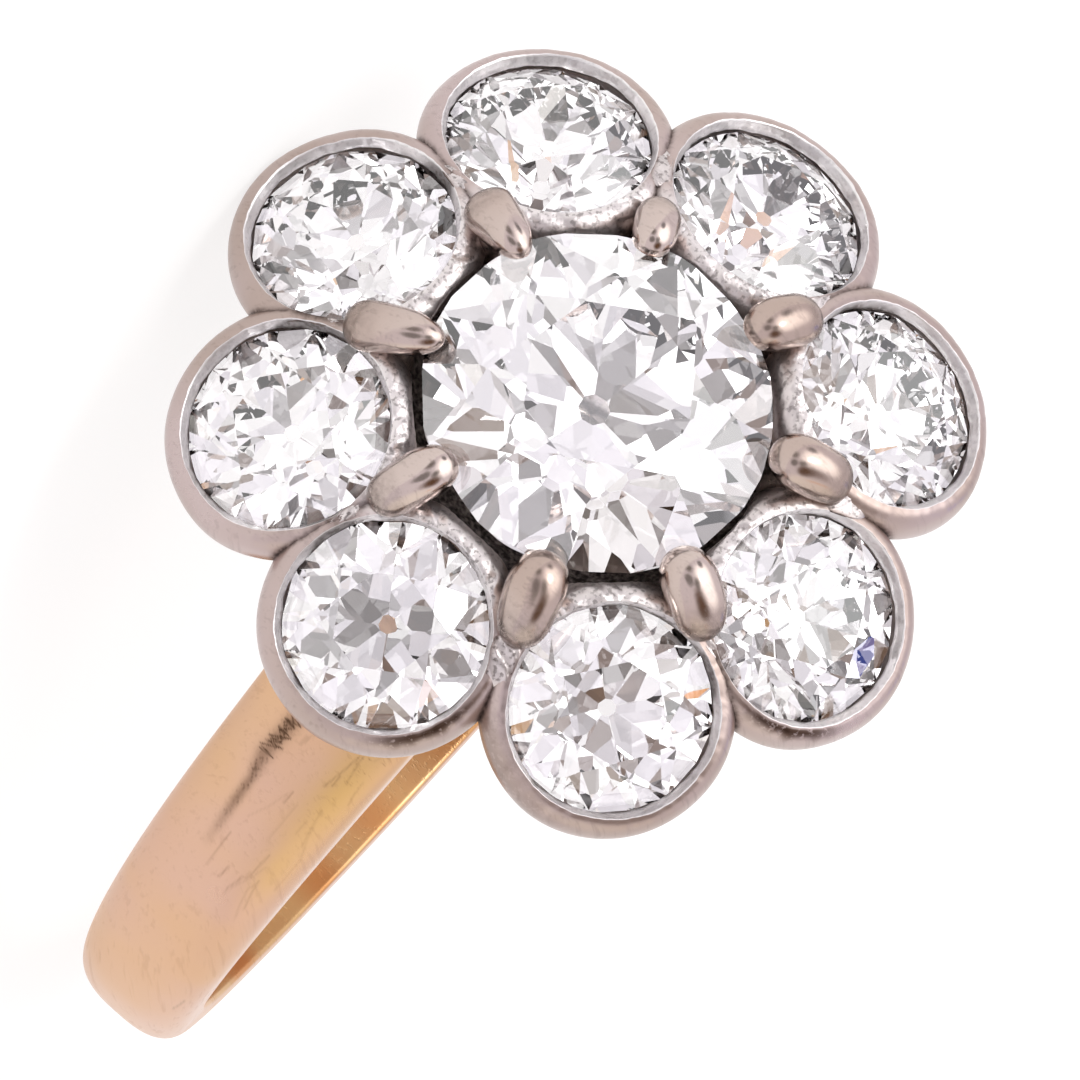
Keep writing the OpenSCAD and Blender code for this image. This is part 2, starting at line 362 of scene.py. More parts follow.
    def marks(self, angle: Array, x: Array, r: Array) -> dict[str, Array]:
        """The black scrape on the near shoulder, a painted yellow light patch beside it, painted reflection bands on
        the inside and the scratches.

        The smudge and the painted light patch are bells across and along, the inside's painted reflection bands are
        unevenness along the angle, and the scrape and the scratches are broken lines with seeded corners.

        Args:
            angle: The angle round the shank from the head, at each point.
            x: The place across the width.
            r: The radius.

        Returns:
            How black the scrape is, how strong the smudge, the painted yellow light and the painted inner reflection,
            and how deep the scratches.
        """
        deg, along = np.degrees(angle), angle * self.outer_r
        outside = r > self.finger_r + 0.2
        middle = np.interp(deg, *self.scrape_middle)
        begun = np.clip((deg - 37) / 1.5, 0, 1)
        wide = np.interp(deg, (46, 49), (0.16, 0.1))
        smudge = bell(x, middle, wide) * begun * np.clip((60 - deg) / 8, 0, 1)
        soot = np.zeros(deg.shape)
        for *stroke, dark in self.strokes:
            soot = np.maximum(soot, dark * self.scratched(along, x, self.scribble(*stroke), self.scrape_wide))
        speck = uneven(along * 9 + 7 * x, 31, (3, 5, 8)) * uneven(x * 31 - 2 * along, 32, (2, 3, 5))
        soot = np.maximum(soot, 0.6 * smudge * np.clip(2.5 * speck, 0, 1))
        # Painted light: a warm yellow glow on the outside beside the scrape, a smaller one further along and a faint
        # one on the other edge
        glow = bell(x, 1.0, 0.5) * bell(deg, 43, 10.5) + 0.5 * bell(x, 1.0, 0.3) * bell(deg, 57, 5)
        glow += 0.28 * bell(x, -1.15, 0.5) * bell(deg, 45, 13)
        inside = r < self.finger_r + 0.03
        # Painted reflection: orange bands round the inside where the gold mirrors itself, strongest about 84 degrees
        rose = np.clip(0.3 + uneven(angle, 8, (13, 19, 29)) + bell(deg, 84, 16), 0, 1) * inside
        rng = np.random.default_rng(12)
        scratch = np.zeros(deg.shape)
        for k in range(self.scratches):
            by_scrape = k < self.scratches_near
            away = rng.uniform(36, 62) if by_scrape else rng.uniform(0, 360)
            across = rng.uniform(-0.1, 1.3) if by_scrape else rng.uniform(-1.1, 1.1)
            long, slope = rng.uniform(0.15, 1.0), rng.normal(0, 0.22)
            start = [math.radians(away) * self.outer_r, across]
            ends = np.array([[0, 0], [0.5, 0.4 * slope], [1, slope]]) * long + start
            scratch = np.maximum(scratch, rng.uniform(0.15, 0.6) * self.scratched(along, x, ends, self.scratch_wide))
        return {
            "soot": soot * outside,
            "smudge": 0.7 * smudge * outside,
            # The inside gets half of the painted yellow light all over
            "glow": 0.75 * glow * outside + 0.5 * inside,
            "rose": rose,
            "scratch": scratch * outside,
        }

    def build(self, ring: RingFrame, material: bpy.types.Material) -> None:
        """Makes the shank and hands it over."""
        hand_over(build_piece("gold_shank", [self.surface()], ring), "gold", material, "shank")


@dataclass(frozen=True)
class DarkBand:
    """A darker band on a rim: degrees round it, millimetres of height, how strong, and whether inside the edge. The
    broad faint band on the second collet is painted shade.
    """

    middle: float
    half: float
    height: float
    high: float
    strength: float
    inside: bool = False


@dataclass
class Collet:
    """One collet: a turned wall that leans outward, with a rounded flank and a sharp bright-cut edge."""

    number: int
    turn: float
    ring_r: float
    lean: float = math.radians(24)
    stone_r: float = 1.9
    bore_r: float = 1.86
    outer_r: float = 2.39
    bright_w: float = 0.13
    flank_h: float = 0.6
    depth: float = 2.2
    taper: float = 0.55
    girdle_sink: float = 0.32
    wall_uneven: float = 0.025  # how far the hand moves the wall, the rim sideways and the rim up and down
    rim_uneven: float = 0.03
    rim_wave: float = 0.025
    slip_wide: float = 0.045
    chatter_high: float = 0.035
    seam_shade_wide: float = 0.07
    dark_bands: tuple[DarkBand, ...] = ()

    def to_upright(self, points: Array) -> Array:
        """Leans points outward about Y, moves them out to the collet and turns them round the head."""
        c, s = math.cos(self.lean), math.sin(self.lean)
        x = points[..., 0] * c + points[..., 2] * s + self.ring_r
        z = -points[..., 0] * s + points[..., 2] * c
        ct, st = math.cos(self.turn), math.sin(self.turn)
        return np.stack([x * ct - points[..., 1] * st, x * st + points[..., 1] * ct, z], axis=-1)

    def to_local(self, points: Array) -> Array:
        """The reverse of to_upright."""
        ct, st = math.cos(self.turn), math.sin(self.turn)
        x = points[..., 0] * ct + points[..., 1] * st - self.ring_r
        y = -points[..., 0] * st + points[..., 1] * ct
        c, s = math.cos(self.lean), math.sin(self.lean)
        return np.stack([x * c - points[..., 2] * s, y, x * s + points[..., 2] * c], axis=-1)

    def wall_r(self, z: Array) -> Array:
        """Outside radius at height z: the straight taper, then a quarter ellipse up to the sharp edge."""
        straight = self.outer_r - self.taper * np.clip((-z - self.flank_h) / (self.depth - self.flank_h), 0, 1)
        rise = np.clip(1 + z / self.flank_h, 0, 1)
        flank_w = self.outer_r - self.bore_r - self.bright_w
        return straight - flank_w * (1 - np.sqrt(1 - rise**2))

    def profile(self) -> tuple[Array, ...]:
        """The wall's section as a closed loop.

        Returns:
            Radius, height, how much of the bright cut each point has, how much grime and painted shade it gets down in
            the bore and the seat, how far the hand's unevenness moves it, and how far the graver's slips widen the
            opening there.
        """
        arc = np.linspace(0, math.pi / 2, 13)
        flank_w = self.outer_r - self.bore_r - self.bright_w
        flank = [
            (self.outer_r - flank_w * (1 - math.cos(a)), -self.flank_h * (1 - math.sin(a)), 0, 0, math.sin(a) ** 3, 0)
            for a in arc
        ]
        foot_r = self.outer_r - self.taper
        seat = self.stone_r * 0.72
        lip = -self.girdle_sink + 0.105
        rows = [
            (seat * 0.9, -self.depth, 0, 0.6, 0, 0),
            (foot_r - 0.06, -self.depth, 0, 0, 0, 0),
            (foot_r - 0.015, -self.depth + 0.02, 0, 0, 0, 0),
            (foot_r, -self.depth + 0.07, 0, 0, 0, 0),
            (foot_r + 0.18, -self.depth + 0.6, 0, 0, 0, 0),
            (foot_r + 0.36, -self.depth + 1.1, 0, 0, 0, 0),
            *flank,
            (self.bore_r + self.bright_w - 0.012, 0.004, 1, 0, 1, 0),
            (self.bore_r + self.bright_w * 0.72, lip * 0.25, 1, 0, 0.6, 0.3),
            (self.bore_r + self.bright_w * 0.36, lip * 0.62, 1, 0, 0.3, 0.7),
            (self.bore_r + 0.004, lip, 1, 0, 0, 1),
            (self.bore_r + 0.012, lip - 0.02, 0.3, 0.35, 0, 1),
            (self.stone_r + 0.03, lip - 0.05, 0.3, 0.3, 0, 0.6),
            (self.stone_r + 0.03, lip - 0.19, 0.5, 0.15, 0, 0.3),
            (seat, lip - 0.655, 0.6, 0.05, 0, 0),
        ]
        return tuple(np.array(rows, float).T)

    def pushed_out(self, local: Array, r: Array, inside: Array, least: float) -> Array:
        """Moves the local points that lie inside straight out to the least radius, and gives upright points."""
        grow = np.where(inside, least / np.maximum(r, 1e-6), 1.0)
        local[..., 0] *= grow
        local[..., 1] *= grow
        return self.to_upright(local)

    def keep_out(self, points: Array, least: float) -> Array:
        """Pushes points that lie in this collet's opening straight out into its wall.

        Args:
            points: Upright points of another piece.
            least: The radius about this collet's axis that they are pushed out to.

        Returns:
            The points, none of them nearer to the axis than least.
        """
        q = self.to_local(points)
        r = np.hypot(q[..., 0], q[..., 1])
        beside = (q[..., 2] > -self.depth) & (q[..., 2] < 0.6)
        return self.pushed_out(q, r, beside & (r < least), least)

    def clear_stone(self, points: Array, slope: float = 0.82) -> Array:
        """Pushes points that lie inside the stone's crown straight out past its edge.

        Args:
            points: Upright points of a claw.
            slope: How steep the crown rises from its edge.

        Returns:
            The points, none of them inside the stone.
        """
        q = self.to_local(points)
        r = np.hypot(q[..., 0], q[..., 1])
        edge = self.stone_r + 0.04
        crown = 0.08 - self.girdle_sink + np.clip(edge - r, 0, 0.9) * slope
        inside = (r < edge) & (q[..., 2] < crown) & (q[..., 2] > -self.depth)
        return self.pushed_out(q, r, inside, edge)

    def surface(self, around: list[Collet], seat: CentreSeat) -> Surface:
        """The turned wall, uneven by hand, with painted shade where it runs into its neighbours and grime and painted
        shade down its bore.

        Args:
            around: The collets beside this one.
            seat: The centre stone's seat, whose well cuts into the wall.

        Returns:
            A grid that closes on itself both ways.
        """
        angle = round_angles(400)[:, None]
        r, z, cut, grime, hand, slip = self.profile()
        outside = (r > self.bore_r + self.bright_w) & (z > -self.depth)
        nick = 0.35 * uneven(angle, 90 + self.number, (17, 26, 41, 59))
        rr = r + outside * self.wall_uneven * (uneven(angle, 10 + self.number) - 0.4)
        rr = rr + hand * self.rim_uneven * (uneven(angle, 40 + self.number) + nick)
        slips = np.clip(0.35 + uneven(angle, 140 + self.number, (3, 7, 13, 22, 37)), 0, 1)
        rr = rr + slip * self.slip_wide * slips
        zz = z + hand * self.rim_wave * (uneven(angle, 70 + self.number, (2, 3, 4, 9)) + 0.6 * nick)
        local = np.stack([rr * np.cos(angle), rr * np.sin(angle), np.broadcast_to(zz, rr.shape)], axis=-1)
        points = self.to_upright(local)
        # Painted shade: the wall darkens where it runs into a neighbouring collet
        seam = np.zeros(points.shape[:2])
        for other in around:
            q = other.to_local(points)
            gap = np.hypot(q[..., 0], q[..., 1]) - other.wall_r(q[..., 2])
            seam = np.maximum(seam, bell(np.clip(gap, 0, None), 0, self.seam_shade_wide))
            points = other.keep_out(points, other.stone_r + 0.06)
        points = seat.clear_well(points)
        near = np.clip((4.75 - np.hypot(points[..., 0], points[..., 1])) / 0.5, 0, 1) * np.clip(1 + z / 0.7, 0, 1)
        chatter = uneven(angle + 0.5 * z, 160 + self.number, (11, 19, 31, 47))
        chatter = self.chatter_high * near * outside * (chatter * (1 + uneven(angle, 170 + self.number, (6, 13))))
        points = points + chatter[..., None] * np.array([0.0, 0.0, 1.0])
        grime = grime * (1 + uneven(angle, 180 + self.number, (1, 2, 4)))
        # Dark bands on the rim: thin dark lines just below the edge, and on the second collet a broad faint painted
        # shade over its flank
        band_darkness = np.zeros(points.shape[:2])
        ragged = 1 + 0.6 * uneven(angle, 260 + self.number, (17, 29, 43))
        for dirt_and_shade in self.dark_bands:
            away = np.degrees(np.angle(np.exp(1j * (angle - math.radians(dirt_and_shade.middle)))))
            side = slip > 0.5 if dirt_and_shade.inside else outside
            band = np.exp(-((away / dirt_and_shade.half) ** 4)) * bell(z, dirt_and_shade.height, dirt_and_shade.high * ragged) * side
            band_darkness = np.maximum(band_darkness, dirt_and_shade.strength * band)
        marks = {
            "cut": np.maximum(cut, 0.7 * near),
            "grime": np.maximum(0.8 * seam, grime),
            "pitted": np.maximum(near, 0.25 * cut),
            "soot": band_darkness,
        }
        return Surface(points, wrap_rows=True, marks=marks)


@dataclass
class OldCutStone:
    """A round old-cut stone: the space inside its facet planes, each a little off as hand cutting leaves it."""

    name: str
    diameter: float
    seed: int
    table: float = 0.5
    crown: float = 0.155
    girdle: float = 0.02
    pavilion: float = 0.4
    culet: float = 0.085
    # Slopes of the star, upper girdle and lower girdle facets, as shares of the main facets' slopes
    star_slope: float = 0.58
    upper_slope: float = 1.2
    lower_slope: float = 1.07
    spin: float = 0.0
    tilt_deg: float = 0.5

    def planes(self) -> tuple[Array, Array]:
        """The facet planes in shares of the diameter.

        Returns:
            Outward unit normals, and the distance of each plane from the middle of the girdle.
        """
        g = self.girdle / 2
        step = np.arange(8) * math.pi / 4
        half = step + math.pi / 8
        split = np.concatenate([step - math.pi / 12, step + math.pi / 12])
        main = math.atan2(self.crown, 0.5 - self.table / 2)
        deep = math.atan2(self.pavilion, 0.5 - self.culet / 2)
        edge = self.table / 2 * math.cos(math.pi / 8)
        rim = np.arange(32) * math.pi / 16
        rows: list[tuple[Array, float, float, float]] = [
            (np.zeros(1), 0.0, 0.0, g + self.crown),
            (step, main, 0.5, g),
            (half, main * self.star_slope, edge, g + self.crown),
            (split, main * self.upper_slope, 0.5 * math.cos(math.pi / 12), g),
            (rim, math.pi / 2, 0.5 * math.cos(math.pi / 32), 0.0),
            (split, math.pi - deep * self.lower_slope, 0.5 * math.cos(math.pi / 12), -g),
            (step, math.pi - deep, 0.5, -g),
            (np.zeros(1), math.pi, 0.0, -g - self.pavilion),
        ]
        rng = np.random.default_rng(self.seed)
        normals, distances = [], []
        for azimuth, slope, r, z in rows:
            polished = 0.0 if slope in (0.0, math.pi / 2) else 1.0
            off = rng.normal(0, math.radians(self.tilt_deg) * polished, (3, len(azimuth)))
            az, sl = azimuth + off[0] * 1.6, slope + off[1]
            normals.append(np.stack([np.sin(sl) * np.cos(az), np.sin(sl) * np.sin(az), np.cos(sl)], axis=-1))
            distances.append(r * math.sin(slope) + z * math.cos(slope) - np.abs(off[2]) * 0.12)
        return np.concatenate(normals), np.concatenate(distances)

    def corners(self) -> tuple[Array, list[list[int]]]:
        """Works out the corners, where three planes meet inside all the others, and each facet's ring of them.

        Returns:
            The corners in shares of the diameter, and each facet's corner numbers in order round it.
        """
        n, d = self.planes()
        i, j, k = (a.ravel() for a in np.meshgrid(*[np.arange(len(n))] * 3, indexing="ij"))
        keep = (i < j) & (j < k)
        i, j, k = i[keep], j[keep], k[keep]
        jk, ki, ij = np.cross(n[j], n[k]), np.cross(n[k], n[i]), np.cross(n[i], n[j])
        det = np.einsum("ab,ab->a", n[i], jk)
        good = np.abs(det) > 1e-7
        top = d[i, None] * jk + d[j, None] * ki + d[k, None] * ij
        points = top[good] / det[good, None]
        points = points[np.linalg.norm(points, axis=1) < 0.7]
        points = points[(points @ n.T <= d + 1e-9).all(axis=1)]
        points = np.unique(np.round(points, 7), axis=0)
        rings = []
        for normal, distance in zip(n, d):
            on = np.flatnonzero(np.abs(points @ normal - distance) < 1e-6)
            if len(on) < 3:
                continue
            across = np.cross(normal, [0.3, 0.5, 0.81])
            across /= np.linalg.norm(across)
            flat = points[on] - points[on].mean(0)
            order = np.argsort(np.arctan2(flat @ np.cross(normal, across), flat @ across))
            rings.append(on[order].tolist())
        return points, rings

    def build(self, ring: RingFrame, place: Callable[[Array], Array], material: bpy.types.Material, node: str) -> None:
        """Makes the stone and hands it over.

        Args:
            ring: Where the ring lies.
            place: Turns points about the stone's axis, in millimetres, into upright points.
            material: The stone's material.
            node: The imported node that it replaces.
        """
        points, rings = self.corners()
        c, s = math.cos(self.spin), math.sin(self.spin)
        points = points @ np.array([[c, s, 0], [-s, c, 0], [0, 0, 1]]) * (self.diameter - 0.01)
        mesh = bpy.data.meshes.new(self.name)
        mesh.from_pydata(ring.place(place(points)).tolist(), [], rings)
        mesh.update()
        hand_over(add_object(self.name, mesh), "diamond", material, node)


@dataclass
class CentreSeat:
    """The centre stone's outline, which metal keeps clear of, and the axis that claws and basket share."""

    off: tuple[float, float]
    stone_r: float = 3.25
    lift: float = 0.88
    half_girdle: float = 0.065
    crown_slope: float = 0.82
    table_r: float = 1.62
    pavilion_slope: float = 0.92
    clear: float = 0.03
    well_off: float = 0.03  # how far the well's middle lies toward the near shoulder

    def to_upright(self, points: Array) -> Array:
        """Moves points about the stone's own axis to the head's axis."""
        return points + np.array([*self.off, 0.0])

    def clear_well(self, points: Array, well_r: float = 3.35) -> Array:
        """Pushes upright points that lie in the well straight out to its wall.

        Args:
            points: Upright points of the collets.
            well_r: The well's radius on the near shoulder's side. Across from it the wall is nearer.

        Returns:
            The points, none of them in the well.
        """
        x, y = points[..., 0] - self.off[0], points[..., 1] - self.off[1]
        out = np.maximum(np.hypot(x, y), 1e-6)
        grow = np.maximum((well_r - self.well_off * (1 - x / out)) / out, 1.0)
        return np.stack([x * grow + self.off[0], y * grow + self.off[1], points[..., 2]], axis=-1)

    def keep_clear(self, points: Array) -> Array:
        """Lifts points that lie inside the stone up to its crown, as the notch in a claw does.

        Args:
            points: Points about the stone's own axis.

        Returns:
            The points, none of them inside the stone.
        """
        r = np.hypot(points[..., 0], points[..., 1])
        edge = self.stone_r + self.clear
        crown = self.lift + self.half_girdle + np.clip(edge - r, 0, edge - self.table_r) * self.crown_slope
        under = self.lift - self.half_girdle - (edge - r) * self.pavilion_slope
        inside = (r < edge) & (points[..., 2] < crown) & (points[..., 2] > under)
        lifted = points.copy()
        lifted[..., 2] = np.where(inside, crown + self.clear, points[..., 2])
        return lifted


@dataclass
class Claw:
    """One claw: a blunt bean that lies over the edge of the stone and runs down between two collets."""

    number: int
    turn: float
    out: float
    radius: float
    length: float
    taper: float
    pitch: float = math.radians(27)
    tip: tuple[float, float] = (2.83, 1.322)
    foot: tuple[float, float] = (3.35, -1.2)

    def bean(self) -> Array:
        """The bean: circles along a gently arched line, nearly even in radius, that close by a root at both ends.

        Returns:
            A grid of points about the stone's axis, from tail to tip.
        """
        s = (1 - np.cos(np.linspace(0, math.pi, 49)))[:, None] / 2
        around = round_angles(40)[None, :]
        blunt = (1 - np.abs(2 * s - 1) ** 3.2).clip(0) ** 0.5
        radius = self.radius * blunt * (1 + self.taper * (0.5 - s)) * np.where((s == 0) | (s == 1), 0, 1)
        radius = radius * (1 + 0.05 * uneven(around + 3 * s, 200 + self.number, (1, 2, 3)))
        back = self.length * (1 - s)
        c, sn = math.cos(self.pitch), math.sin(self.pitch)
        wide, high = radius * np.cos(around), 0.94 * radius * np.sin(around) + 0.08 * np.sin(math.pi * s)
        x = self.tip[0] + self.out + back * c + high * sn
        z = self.tip[1] - back * sn + high * c
        return np.stack([x + 0 * wide, wide, z + 0 * wide], axis=-1)

    def stem(self) -> Array:
        """The stem: circles from the foot in the basket up into the bean, which hide its two small open ends."""
        s = np.linspace(0, 1, 8)[:, None]
        around = round_angles(28)[None, :]
        radius = self.radius * (0.6 + 0.25 * s) * np.where((s == 0) | (s == 1), 0.02, 1.0)
        top = (self.tip[0] + self.out + self.length * 0.5, self.tip[1] - self.radius * 0.95)
        x = self.foot[0] + (top[0] - self.foot[0]) * s + radius * np.cos(around)
        z = self.foot[1] + (top[1] - self.foot[1]) * s + 0 * radius
        return np.stack([x, radius * np.sin(around), z + 0 * x], axis=-1)

    def surfaces(self, seat: CentreSeat, collets: list[Collet]) -> list[Surface]:
        """The bean and its stem, turned to their place and kept clear of the stones.

        Args:
            seat: The centre stone's outline.
            collets: The collets, whose stones the claw must not touch.

        Returns:
            Two grids in upright millimetres.
        """
        c, s = math.cos(self.turn), math.sin(self.turn)
        spin = np.array([[c, s, 0], [-s, c, 0], [0, 0, 1]])
        grids = [seat.to_upright(seat.keep_clear(g @ spin)) for g in (self.bean(), self.stem())]
        for collet in collets:
            grids = [collet.clear_stone(g) for g in grids]
        # Painted shade and grime: the tail darkens in blotches where the claw runs down between the collets, and the
        # stem is dark all over
        tail = (1 - (1 - np.cos(np.linspace(0, math.pi, 49))) / 0.9).clip(0)[:, None]
        blotch = uneven(np.linspace(0, TURN, 40)[None, :] + 5 * tail, 230 + self.number)
        grimes_and_shades = 0.9 * tail * (0.7 + 0.3 * blotch), np.full(grids[1].shape[:2], 0.6)
        return [Surface(g, marks={"grime": grime}) for g, grime in zip(grids, grimes_and_shades)]


@dataclass
class SolderWeb:
    """The solder that fills the notch between two collets, cut flat and bright with a graver."""

    number: int
    turn: float
    start: float = 4.55
    end: float = 5.68
    edge_r: float = 2.0
    overlap: float = 0.06
    depth: float = 0.3

    def rim_height(self, rho: Array, side: Collet) -> Array:
        """Height of a collet's leaning rim plane along the notch: it falls outward with the tangent of the lean."""
        along = rho * math.cos(self.turn - side.turn)
        return -math.tan(side.lean) * (along - side.ring_r)

    def surface(self, sides: list[Collet]) -> Surface:
        """The web: a flat-topped strip that widens as the two rims part and sinks below them to its outer end.

        Each end narrows to a short slit that stays open.
        The half width is what lies between the notch's middle and the circle of a bright edge, by Pythagoras.

        Args:
            sides: The two collets.

        Returns:
            A grid in upright millimetres.
        """
        s = np.linspace(0, 1, 49)[:, None]
        rho = self.start + (self.end - self.start) * s
        apart = [np.abs(rho * math.sin(self.turn - side.turn)) for side in sides]
        along = [rho * math.cos(self.turn - side.turn) - side.ring_r for side in sides]
        gap = [a - np.sqrt((self.edge_r**2 - b**2).clip(0)) for a, b in zip(apart, along)]
        half = np.clip(np.minimum(*gap), 0.03, 0.5) + self.overlap
        around = round_angles(36)[None, :]
        close = (1 - np.abs(2 * s - 1) ** 5).clip(0) ** 0.7 * (1 - 0.45 * s**2)
        rough = 1 + 0.1 * uneven(around + 5 * s, 300 + self.number, (1, 2, 5))
        across = half * close * rough * np.sign(np.cos(around)) * np.abs(np.cos(around)) ** 0.7
        sink = 0.12 * s**2 + 0.12 * (1 - s / 0.35).clip(0) ** 2 + 0.4 * np.clip((s - 0.65) / 0.35, 0, 1) ** 2
        ripple = 0.03 * uneven(around * 2 + 9 * s, 320 + self.number, (2, 3, 5, 8))
        top = np.minimum(*[self.rim_height(rho, side) for side in sides]) - sink
        lift = np.sin(around)
        up = top + np.where(lift > 0, 0.02 * lift + ripple * lift, self.depth * lift * close)
        c, sn = math.cos(self.turn), math.sin(self.turn)
        points = np.stack([rho * c - across * sn, rho * sn + across * c, up], axis=-1)
        for side in sides:
            points = side.clear_stone(points)
        # Painted shade and grime: darker along both edges where the web meets the collets, in random streaks, and
        # toward its sunken outer end
        edge = np.abs(np.cos(around)) ** 3 + 0 * across
        streak = np.clip(uneven(around + 14 * s, 340 + self.number, (1, 2, 4, 7)), 0, 1)
        grime = np.maximum(0.55 * edge, 0.5 * streak) + 0.3 * s**3
        return Surface(points, marks={"cut": 0.6 * (1 - edge), "grime": grime, "pitted": np.ones(edge.shape)})


@dataclass
class Basket:
    """The basket under the centre stone, with the well cut down into it."""

    well_r: float = 3.35
    wall: float = 0.5
    top: float = -0.4
    shank_r: float = 9.84
    head_rise: float = 11.9975
    back_r: float = 1.46

    def surface(self, seat: CentreSeat) -> Surface:
        """The turned wall, its foot raised to sit on the shank.

        Args:
            seat: Gives the basket's axis.

        Returns:
            A grid that closes on itself both ways.
        """
        angle = round_angles(120)[:, None]
        outer = self.well_r + self.wall
        foot = self.shank_r - self.head_rise - 1.6
        plate = self.shank_r - self.head_rise + 0.04
        rows = [
            *((outer, foot), (outer, self.top - 0.05), (outer - 0.05, self.top), (self.well_r + 0.05, self.top)),
            *((self.well_r, self.top - 0.05), (2.6, -0.95), (self.back_r, -1.86), (1.2, plate + 0.03)),
            *((0.02, plate + 0.03), (0.02, plate - 0.03), (outer - 0.4, foot)),
        ]
        r, z = np.array(rows).T
        local = np.stack([r * np.cos(angle), r * np.sin(angle), np.broadcast_to(z, (120, len(z)))], axis=-1)
        points = seat.to_upright(local)
        saddle = np.sqrt(self.shank_r**2 - points[..., 0] ** 2) - self.head_rise
        points[..., 2] = np.maximum(points[..., 2], saddle)
        seen = z > foot + 0.2
        cone, plate_top = (r < 2.0) & seen, (r < 1.5) & seen
        # Painted shade: the basket is dark all over but for its cone round the middle
        marks = {"grime": np.where(cone, 0.05, 0.95), "cut": np.where(plate_top, 1.0, 0.6 * cone)}
        return Surface(points, wrap_rows=True, marks=marks)


@dataclass
class ClusterHead:
    """The cluster: eight collets soldered round a basket with eight claws, and the nine stones."""

    ring_r: float = 5.466
    off: tuple[float, float] = (-0.078, 0.078)
    # How far each collet lies out, as a share of the ring's radius, and its turn off the even ring in degrees
    collet_places: tuple[tuple[float, float], ...] = (
        (0.004, -0.8), (0.013, 1.3), (0, 0), (0.05, 1.6), (0.008, 0.8), (0, 1.4), (-0.012, 1.8), (-0.004, 0.2),
    )
    # For each claw, how far out it lies as a share of the centre stone's diameter, its turn off the seam between
    # two collets in degrees, its radius and length in millimetres, and how much it narrows toward its tip
    claw_places: tuple[tuple[float, float, float, float, float], ...] = (
        (0.05, 0, 0.54, 1.85, -0.1), (0.045, -1.6, 0.53, 1.8, -0.1), (0.065, 2.2, 0.52, 1.75, 0.0),
        (0.03, -1.8, 0.5, 1.7, 0.1), (0.005, -0.6, 0.42, 1.4, 0.1), (0.015, 0, 0.46, 1.65, 0.5),
        (0.027, 0, 0.46, 1.95, 0.45), (0.023, 0, 0.48, 1.8, 0.0),
    )

    def collets(self) -> list[Collet]:
        """The eight collets; the first is on the near shoulder and they go round toward the finger's +Y."""
        places = enumerate(self.collet_places)
        dirt_and_shade = {
            0: (DarkBand(63, 27, -0.02, 0.07, 0.95),),
            # Painted shade: a broad faint darkening over this collet's flank
            1: (DarkBand(-60, 38, -0.3, 0.3, 0.3),),
            2: (DarkBand(-55, 26, -0.02, 0.08, 0.95),),
            3: (DarkBand(96, 22, -0.2, 0.08, 0.9, inside=True),),
        }
        return [
            Collet(k, math.radians(45 * k + off), self.ring_r * (1 + out), dark_bands=dirt_and_shade.get(k, ()))
            for k, (out, off) in places
        ]

    def claws(self, collets: list[Collet]) -> list[Claw]:
        """The eight claws, each near the seam between a collet and the next one."""
        turns = [c.turn for c in collets] + [collets[0].turn + TURN]
        return [
            Claw(k, (turns[k] + turns[k + 1]) / 2 + math.radians(off), out * MIDDLE_STONE_MM, *size)
            for k, (out, off, *size) in enumerate(self.claw_places)
        ]

    def build(self, ring: RingFrame, finishes: dict[Part, bpy.types.Material]) -> None:
        """Makes the metal and the stones and hands them over.

        Args:
            ring: Where the ring lies.
            finishes: A material for each part of the ring.
        """
        seat, collets = CentreSeat(self.off), self.collets()
        for k, collet in enumerate(collets):
            around = [collets[k - 1], collets[(k + 1) % COLLETS]]
            wall = build_piece(f"collet_{k + 1}", [collet.surface(around, seat)], ring)
            hand_over(wall, "platinum", finishes[Part.COLLET], *(["cluster_setting"] if k == 0 else []))
            stone = OldCutStone(f"small_stone_{k + 1}", SMALL_STONE_MM, 20 + k, spin=0.37 * k + 0.2)
            lower = np.array([0, 0, -collet.girdle_sink])
            stone.build(
                ring, lambda p, c=collet, low=lower: c.to_upright(p + low), finishes[Part.STONE], f"petal_stone_{k + 1}"
            )
        for k, collet in enumerate(collets):
            sides = [collet, collets[(k + 1) % COLLETS]]
            seam = (collet.turn + sides[1].turn + (TURN if k == COLLETS - 1 else 0)) / 2
            web = build_piece(f"solder_web_{k + 1}", [SolderWeb(k, seam).surface(sides)], ring)
            hand_over(web, "platinum", finishes[Part.COLLET])
        for claw in self.claws(collets):
            piece = build_piece(f"claw_{claw.number + 1}", claw.surfaces(seat, collets), ring)
            hand_over(piece, "platinum", finishes[Part.CLAW])
        hand_over(build_piece("claw_basket", [Basket().surface(seat)], ring), "platinum", finishes[Part.BASKET])
        rise = np.array([0, 0, seat.lift])
        stone = OldCutStone("middle_stone", MIDDLE_STONE_MM, 5, spin=0.2)
        stone.build(ring, lambda p: seat.to_upright(p + rise), finishes[Part.STONE], "centre_stone")


# Finishes


def new_material(name: str) -> tuple[bpy.types.Material, bpy.types.NodeTree]:
    """Makes an empty node material.

    Args:
        name: The material's name.

    Returns:
        The material and its emptied node tree.
    """
    material = bpy.data.materials.new(name)
    material.use_nodes = True
    material.node_tree.nodes.clear()
    return material, material.node_tree


def close_material(tree: bpy.types.NodeTree, inputs: dict) -> None:
    """Ends a material: its surface, with the given inputs, and the output."""
    surface = add_node(tree, "BsdfPrincipled", inputs).outputs[0]
    add_node(tree, "OutputMaterial", {"Surface": surface})


